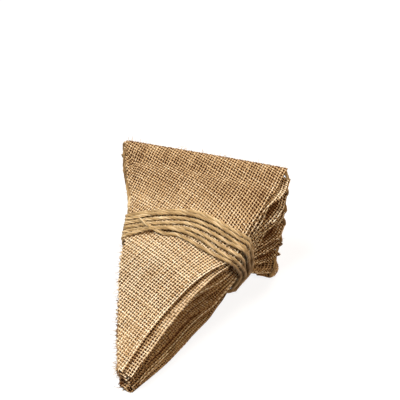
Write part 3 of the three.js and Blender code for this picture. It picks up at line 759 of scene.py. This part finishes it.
def yarn_lines(i, rng, lengthwise, steps, zone):
    """Lines of one set of yarns of pennant i: points, edges and what each point keeps."""
    reach, spread = (WARP_REACH, WEFT_REACH) if lengthwise else (WEFT_REACH, WARP_REACH)
    walk = np.arange(YARN_START, reach, PITCH / steps)[None, :]
    rank = np.arange(-1, int(spread / PITCH))[:, None]
    number = len(rank)
    drift = DRIFT * PITCH * wander(rng, number, walk, DRIFT_WAVES)
    drift = drift + YARN_SHIFT * PITCH * rng.normal(size=(number, 1))
    across_yarns = (rank + 0.5) * PITCH + drift
    along_g, in_g = (walk, across_yarns) if lengthwise else (across_yarns, walk)
    flat = CORNER + along_g[..., None] * GRAIN - in_g[..., None] * CROSS
    across, walked = flat[..., 0], flat[..., 1]
    across = across + SWAY * np.sin(walked / SWAY_LENGTH + SWAY_STEP * i)
    wave = np.cos(math.pi * (walk / PITCH - 0.5) + math.pi * rank) * (1 if lengthwise else -1)
    left_reach, right_reach = cloth_reach(i, walked)
    fray = rng.uniform(0.0, 1.0, (2, number, 1)) ** 2 * np.array([FRAY_RIGHT, FRAY_LEFT])[:, None, None]
    to_right, to_left = right_reach - across, left_reach + across
    kept = (to_right > -fray[0]) & (to_left > -fray[1]) & (walked > -FRAY_TIP) & (walked < CLOTH_END)
    if zone is not None:
        near = (to_right < zone["right"]) | (to_left < zone["left"]) | (walked > zone["casing"])
        kept &= near & (walked < zone["hem"])
    index = np.full(kept.shape, -1)
    index[kept] = np.arange(kept.sum())
    joined = kept[:, 1:] & kept[:, :-1]
    edges = np.stack([index[:, :-1][joined], index[:, 1:][joined]], -1)
    a, b, off = across[kept], walked[kept], CRIMP * wave[kept]
    points = cloth_point(i, a, b, off)
    up = unit(cloth_point(i, a, b, off + UP_STEP) - points)
    body = rng.normal(1.0, BODY_SPREAD, (number, 1)) + BODY_WANDER * wander(rng, number, walk, BODY_WAVES)
    tone = YARN_TONE + rng.normal(0.0, TONE_SPREAD, (number, 1))
    # Random tone by yarn, plus a painted highlight on its crowns and painted shade in its dips
    tone = tone + TONE_WANDER * wander(rng, number, walk, TONE_WAVES) + CROWN_LIGHT_SHADE * wave
    if lengthwise:
        # Painted highlight and shade on the outer yarns of the right edge
        behind = smooth(*EDGE_BEHIND, walked) * (i < TOP - 1)
        tone = tone + EDGE_HIGHLIGHT_SHADE[i] * (rank <= 0) * (1 - behind) + RIM_HIGHLIGHT * (rank <= 1) * behind
        body = body + EDGE_BODY * (rank <= 0)
    # Painted shade on the lower pennants and deep under the pennants above
    tone = tone - LOW_SHADE * (1 - i / TOP) + deep_shade(i, to_right, walked)
    if i == TOP:
        # Painted shade towards the top pennant's cased end and on its casing's turn
        tone = tone - SHADY * smooth(*SHADY_SPAN, walked) - TURN_DARK * smooth(*TURN_SHADE, walked)
    along = walk + rng.uniform(0, ALONG_SPREAD, (number, 1))
    body, tone, along = (np.broadcast_to(v, kept.shape)[kept] for v in (body, tone, along))
    marks = {"up": up, "thick": np.clip(body, BODY_LEAST, BODY_MOST), "tone": tone, "along": along}
    return in_part(points), edges, marks


def joined_lines(*sets):
    """Several sets of lines as one."""
    points, edges, marks, start = [], [], {}, 0
    for p, e, m in sets:
        points.append(p)
        edges.append(e + start)
        start += len(p)
        for key, value in m.items():
            marks.setdefault(key, []).append(value)
    return np.concatenate(points), np.concatenate(edges), {k: np.concatenate(v) for k, v in marks.items()}


def ground_cloth(name, i, columns, material):
    """The thin closed sheet that carries the yarns of pennant i."""
    flat_rows = np.linspace(0, GROUND_BREAK, GROUND_ROWS)
    rows = np.concatenate([flat_rows, np.linspace(CASING_BREAK, CLOTH_END, CASING_ROWS)])
    left_reach, right_reach = (reach[:, None] for reach in cloth_reach(i, rows))
    share = np.linspace(0, 1, columns)[None, :]
    across = -left_reach + (left_reach + right_reach) * share
    walked = np.broadcast_to(rows[:, None], across.shape)
    offs = [np.full(across.shape, off) for off in (GROUND / 2, -GROUND / 2)]
    points = np.concatenate([cloth_point(i, across, walked, off).reshape(-1, 3) for off in offs])
    grid = np.arange(len(rows) * columns).reshape(len(rows), columns)
    under = grid + grid.size
    corners = (grid[:-1, :-1], grid[:-1, 1:], grid[1:, 1:], grid[1:, :-1])
    faces = [np.stack(corners, -1).reshape(-1, 4)]
    faces.append(np.stack([c + grid.size for c in reversed(corners)], -1).reshape(-1, 4))
    for line, below, flip in (
        (grid[:, 0], under[:, 0], False),
        (grid[:, -1], under[:, -1], True),
        (grid[0], under[0], True),
        (grid[-1], under[-1], False),
    ):
        strip = np.stack([line[:-1], line[1:], below[1:], below[:-1]], -1)
        faces.append(strip[:, ::-1] if flip else strip)
    faces = np.concatenate(faces)
    mesh = bpy.data.meshes.new(name)
    mesh.from_pydata(in_part(points), [], faces.tolist())
    flat_u, flat_v = weave_place(across.ravel(), walked.ravel())
    places = np.tile(np.stack([flat_u, flat_v], -1), (2, 1))
    layer = mesh.uv_layers.new(name="weave")
    layer.uv.foreach_set("vector", places[faces.ravel()].astype(np.float32).ravel())
    # Painted shade deep under the pennants above, as on the yarns
    tone = GROUND_TONE + deep_shade(i, right_reach - across, walked).ravel()
    tones = mesh.attributes.new("tone", "FLOAT", "POINT")
    tones.data.foreach_set("value", np.tile(tone, 2).astype(np.float32))
    mesh.polygons.foreach_set("use_smooth", np.ones(len(faces), bool))
    mesh.materials.append(material)
    mesh.update()
    piece = bpy.data.objects.new(name, mesh)
    bpy.context.scene.collection.objects.link(piece)
    return piece


# Twine routes
def bore(i, q):
    """A point on the middle line of the casing of pennant i."""
    return on_cloth(i, 1 - CASING_RADIUS / FLAT_LENGTH, q)


def even_line(points, step):
    """A smooth line through points, at even steps."""
    points = np.asarray(points, float)
    walked = distances(points)
    fine = np.linspace(0, walked[-1], int(walked[-1] / FINE_STEP))
    line = np.stack([through(walked, points[:, k], fine) for k in range(3)], -1)
    true = distances(line)
    at = np.linspace(0, true[-1], int(true[-1] / step))
    return np.stack([np.interp(at, true, line[:, k]) for k in range(3)], -1)


def string_route():
    """To and fro through the casings, with a loop from each pennant to the next."""
    route = []
    for i in range(PENNANTS):
        way = 1 if i % 2 == 0 else -1
        run = np.linspace(-1, 1, RUN_POINTS) if i < TOP else np.linspace(STRING_END, 1, RUN_POINTS - 1)
        route += [bore(i, q) for q in (run if way > 0 else run[::-1])]
        if i == TOP:
            continue
        here, next_bore = bore(i, way), bore(i + 1, way)
        out = unit(here - bore(i, way * NEAR_MOUTH))
        out_next = unit(next_bore - bore(i + 1, way * NEAR_MOUTH))
        step = next_bore - here
        inward, onward = max(-step @ out, 0.0), max(step @ out, 0.0)
        half_out = LOOP_HALF + HALF_SLANT * (inward + onward)
        route.append(here + out * LOOP_LEAVE)
        route.append(here + LOOP_SHARE * step + out * (LOOP_TURN + LOOP_SLANT * inward))
        route.append(here + 0.5 * step + (out + out_next) / 2 * half_out)
        route.append(next_bore - LOOP_SHARE * step + out_next * (LOOP_TURN + LOOP_SLANT * onward))
        route.append(next_bore + out_next * LOOP_LEAVE)
    return route


def crossing(i, q, at):
    """Where one line of a pennant crosses the tilted plane of a turn of the tie."""
    line = on_cloth(i, CROSSING_AT, q)
    off = line[:, 1] - at - (layer_height(0.0, at, 1.0) - line[:, 2]) * TIE_TILT
    k = int(np.argmax(off >= 0)) if (off >= 0).any() else len(line) - 1
    k = max(k, 1)
    share = np.clip(off[k - 1] / (off[k - 1] - off[k]), 0, 1)
    return line[k - 1] + (line[k] - line[k - 1]) * share


def taut_way(at):
    """The taut way round the pile in that plane: share of the way round, place and outward direction."""
    held = []
    for i in range(PENNANTS):
        inside = HELD_INSIDE if i in (0, TOP) else ()
        held += [crossing(i, q, at) for q in (-1.0, *inside, 1.0)]
    held = np.array(held)
    angles = np.arange(CORNER_ANGLES[0], CORNER_ANGLES[-1] + TAUT_ANGLE / 2, TAUT_ANGLE)
    out = np.stack([np.cos(np.radians(angles)), np.sin(np.radians(angles))], -1)
    far = held[np.argmax(held[:, [0, 2]] @ out.T, axis=0)][:, [0, 2]]
    clear = TWINE / 2 + TIE_CLEAR
    place = far + out * np.stack([clear + SIDE_CLEAR * abs(out[:, 0]), clear + 0 * out[:, 0]], -1)
    walked = distances(place)
    ends = [int(np.argmax(angles >= a)) for a in CORNER_ANGLES]
    share = np.interp(walked, walked[ends], CORNER_SHARES)
    return np.concatenate([share[:, None], place, out], 1)


TAUT = [taut_way(at) for at in TAUT_AT]


def round_pile(at, u, lift):
    """A point of the tie: at along the pile, u of the way round, lifted off the cloth."""
    k = int(np.clip(np.searchsorted(TAUT_AT, at) - 1, 0, len(TAUT_AT) - 2))
    t = (at - TAUT_AT[k]) / (TAUT_AT[k + 1] - TAUT_AT[k])
    a, b = ([np.interp(u, way[:, 0], way[:, n]) for n in range(1, 5)] for way in (TAUT[k], TAUT[k + 1]))
    x, z, out_x, out_z = (p + (r - p) * t for p, r in zip(a, b))
    z = z + lift * out_z
    return np.array([x + lift * out_x, at + (layer_height(0.0, at, 1.0) - z) * TIE_TILT, z])


def tie_route(rng):
    """Out of the top casing, down the left edge to the waist, round it, and a free end on top."""
    route = [bore(TOP, q) for q in TAIL_INSIDE]
    for s in TAIL_AT:
        aside = -TWINE / 2 + TAIL_IN - LEFT_EARS[TOP] * smooth(*TAIL_OUT, s)
        route.append(on_cloth(TOP, s, -1) + np.array([aside, 0, -TAIL_LOW]))
    keys = [TURN_START]
    for k, row in enumerate(TURN_ROWS):
        keys += [(k + share, at) for share, at in zip(TURN_SHARES.values(), row)]
    keys = np.array(keys)
    phases = rng.uniform(0, 2 * math.pi, len(SLACK))

    def along(u):
        slack = sum(size * np.sin(2 * math.pi * u * rate + p) for (rate, size), p in zip(SLACK, phases))
        return through(keys[:, 0], keys[:, 1], u) + slack

    turns = len(TURN_ROWS)
    shares = np.linspace(0, 1, TURN_STEPS + 1)[:-1]
    shoulder = SHOULDER_RISE * within(SHOULDER_SPAN, shares)
    for turn in range(turns):
        u = turn + shares
        at = along(u)
        before = np.where(u - 1 > 0, along(u - 1) - at, 2 * TWINE)
        after = np.where(u + 1 < turns, at - along(u + 1), 2 * TWINE)
        pitch = np.clip(np.minimum(before, after), 0, TWINE)
        over = np.sqrt(TWINE**2 - pitch**2) * within(LIFT_SPAN, shares) * (turn % 2)
        lift = over + shoulder
        kept = (u > TURNS_FROM) & (u < turns - TURNS_SHORT)
        route += [round_pile(*row) for row in zip(at[kept], shares[kept], lift[kept])]
    route += [round_pile(*row) for row in END_ROWS]
    return route


def twine_lines(route, rng, step, tone, taper=0.0, shaded=0.0):
    """A twine's line, its points and edges, and what each point keeps."""
    line = even_line(route, step)
    line[:, 2] = np.maximum(line[:, 2], TIE_LOWEST)
    number = len(line)
    along = np.arange(number) * step
    thick = 1.0 + THICK_WANDER * wander(rng, 1, along[None, :], THICK_WAVES)[0]
    if taper:
        thick *= TAPER_TO + (1 - TAPER_TO) * smooth(0, taper, along[-1] - along)
    shade = tone + SHADE_WANDER * wander(rng, 1, along[None, :], SHADE_WAVES)[0]
    if shaded:
        # Painted shade on the first stretch of the tie
        shade = shade - TAIL_SHADE * (1 - smooth(shaded - TAIL_FADE, shaded, along))
    edges = np.stack([np.arange(number - 1), np.arange(1, number)], -1)
    return line, in_part(line), edges, {"thick": thick, "tone": shade, "along": along}


# Stray fibres
def stray_fibres(rng, roots, ahead, out, length):
    """Short curled fibres that stand off a line: their points, edges and marks."""
    number, joints = len(roots), FIBRE_JOINTS
    size = length * rng.uniform(FIBRE_LEAST, 1.0, number) ** FIBRE_SHARP
    lean = rng.normal(0, 1, (number, 3))
    either = rng.choice([-1, 1], (number, 1))
    way = unit(FIBRE_OUT * out + FIBRE_AHEAD * ahead * either + FIBRE_LEAN * lean)
    bend = unit(np.cross(way, rng.normal(0, 1, (number, 3)))) * FIBRE_CURL
    share = np.linspace(0, 1, joints)[None, :, None]
    points = roots[:, None] + size[:, None, None] * (way[:, None] * share + bend[:, None] * share**2)
    points[..., 2] = np.maximum(points[..., 2], LOWEST)
    index = np.arange(number * joints).reshape(number, joints)
    edges = np.stack([index[:, :-1].ravel(), index[:, 1:].ravel()], -1)
    up = np.repeat(unit(np.cross(way, bend)), joints, 0)
    thick = np.tile(np.linspace(1.0, FIBRE_THIN, joints), number)
    tone = np.repeat(rng.uniform(FIBRE_DARK, 1.0, number), joints)
    along = np.tile(np.linspace(0, FIBRE_ALONG, joints), number)
    return in_part(points.reshape(-1, 3)), edges, {"up": up, "thick": thick, "tone": tone, "along": along}


def whiskers(i, rng, number):
    """Loose fibres along a pennant's left edge, most of them near its tip, and along its cased end."""
    edge_walk = FLAT_LENGTH * rng.uniform(0, 1, number) ** WHISKER_SHARP
    end_walk = FLAT_LENGTH + rng.uniform(*WHISKER_END, number // 2)
    left_reach, right_reach = cloth_reach(i, end_walk)
    end_across = -left_reach + (left_reach + right_reach) * rng.uniform(0, 1, number // 2)
    walked = np.concatenate([edge_walk, end_walk])
    across = np.concatenate([WHISKER_IN - cloth_reach(i, edge_walk)[0], end_across])
    none = np.zeros(len(walked))
    roots = cloth_point(i, across, walked, none)
    ahead = unit(cloth_point(i, across, walked + PROBE_AHEAD, none) - roots)
    off_edge = roots - cloth_point(i, across + PROBE_IN, walked, none)
    off_cloth = cloth_point(i, across, walked, none + PROBE_OFF) - roots
    out = unit(np.where(np.arange(len(walked))[:, None] < number, off_edge, off_cloth))
    points, edges, marks = stray_fibres(rng, roots, ahead, out, WHISKER)
    return points, edges, {**marks, "thick": marks["thick"] * HAIR, "tone": marks["tone"] * HAIR_TONE}


# The scene
YARN = yarn_tree()
PLIED = twine_tree()
JUTE = jute_group()
burlap = fibre_material("burlap yarn", JUTE, BURLAP_COLOURS, YARN_FIBRES, YARN_RELIEF)
burlap_ground = ground_material(JUTE, BURLAP_COLOURS)
jute_twine = fibre_material("jute twine", JUTE, TWINE_COLOURS, TWINE_FIBRES, TWINE_RELIEF)


def own(piece):
    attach(piece, "root")


def swept_yarns(name, lines, width, height, sides, material):
    """One piece of all the yarns or fibres that run along some lines."""
    points, edges, marks = lines
    seed = line_mesh(name, points, edges, **marks)
    return grown(name, seed, YARN, width=width * MM, height=height * MM, sides=sides, material=material)


def make_pennant(i):
    name = f"pennant_{i + 1:02d}"
    rng = np.random.default_rng([SEED, i])
    detail = TOP_DETAIL if i == TOP else LOWER_DETAIL
    zone = ZONES.get(i, LOWER_ZONE)
    ground = ground_cloth(f"{name}_ground", i, detail["columns"], burlap_ground)
    sets = [yarn_lines(i, rng, lengthwise, detail["steps"], zone) for lengthwise in (True, False)]
    sets.append(whiskers(i, rng, detail["whiskers"]))
    parts = {"warp": sets[:1], "weft": sets[1:]} if i == TOP else {"yarns": sets}
    woven = []
    for part, some in parts.items():
        lines = joined_lines(*some)
        piece_name = f"{name}_{part}"
        woven.append(swept_yarns(piece_name, lines, YARN_WIDTH, YARN_HEIGHT, detail["sides"], burlap))
    for piece in (ground, *woven):
        own(piece)
    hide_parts(name)


def make_plies(name, lines):
    points, edges, marks = lines[1:]
    seed = line_mesh(name, points, edges, **marks)
    plies = grown(f"{name}_plies", seed, PLIED, **PLIES, sides=PLY_SIDES, material=jute_twine)
    own(plies)
    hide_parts(name)


def make_twine():
    rng = np.random.default_rng([SEED, TWINE_SEED])
    tie = tie_route(rng)
    string_lines = twine_lines(string_route(), rng, STRING_STEP, STRING_TONE)
    make_plies("string_twine", string_lines)
    tie_lines = twine_lines(tie, rng, TIE_STEP, TIE_TONE, TIE_TAPER, TAIL_SHADED)
    make_plies("tie_twine", tie_lines)
    line = tie_lines[0]
    at = rng.integers(2, len(line) - 2, TIE_FIBRES)
    ahead = unit(line[at + 1] - line[at - 1])
    out = unit(np.cross(ahead, rng.normal(0, 1, (len(at), 3))))
    fibres = stray_fibres(rng, line[at] + out * TIE_FIBRE_OFF, ahead, out, TIE_FIBRE)
    width = TIE_FIBRE_WIDTH
    hairs = swept_yarns("tie_twine_fibres", fibres, width, width, FIBRE_SIDES, jute_twine)
    own(hairs)


def make_stage():
    floor = bpy.data.meshes.new("floor")
    corners = [(x * FLOOR_HALF, y * FLOOR_HALF, 0) for x, y in ((-1, -1), (1, -1), (1, 1), (-1, 1))]
    floor.from_pydata(corners, [], [(0, 1, 2, 3)])
    floor.materials.append(new_material("floor", FLOOR_FINISH)[0])
    plane = bpy.data.objects.new("floor", floor)
    plane.location.z = -FLOOR_DROP
    plane.visible_diffuse = False
    bpy.context.scene.collection.objects.link(plane)


def make_lamp(name, place, aim, size, power, colour):
    lamp = bpy.data.lights.new(name, "AREA")
    lamp.shape = "DISK"
    lamp.size = size
    lamp.energy = power
    lamp.color = colour
    holder = bpy.data.objects.new(name, lamp)
    holder.location = place
    holder.rotation_euler = (Vector(aim) - Vector(place)).to_track_quat("-Z", "Y").to_euler()
    bpy.context.scene.collection.objects.link(holder)


def make_studio():
    world = bpy.data.worlds.new("studio")
    world.use_nodes = True
    around = world.node_tree.nodes["Background"]
    around.inputs["Color"].default_value = AROUND_COLOUR
    around.inputs["Strength"].default_value = AROUND_STRENGTH
    bpy.context.scene.world = world
    for name, settings in LAMPS.items():
        make_lamp(name, *settings)
    bpy.context.scene.view_settings.view_transform = "Standard"


def make_camera():
    data = bpy.data.cameras.new("camera")
    data.lens, data.sensor_width = LENS, SENSOR
    data.clip_start, data.clip_end = CLIP_START, CLIP_END
    a, e = math.radians(CAMERA_AZIMUTH), math.radians(CAMERA_ELEVATION)
    back = Vector((math.sin(a) * math.cos(e), -math.cos(a) * math.cos(e), math.sin(e)))
    camera = bpy.data.objects.new("camera", data)
    camera.location = Vector(in_part(LOOK_AT)) + back * CAMERA_DISTANCE * MM
    camera.rotation_euler = (-back).to_track_quat("-Z", "Y").to_euler()
    bpy.context.scene.collection.objects.link(camera)
    bpy.context.scene.camera = camera


make_camera()
make_studio()
make_stage()
for rank in range(PENNANTS):
    make_pennant(rank)
make_twine()
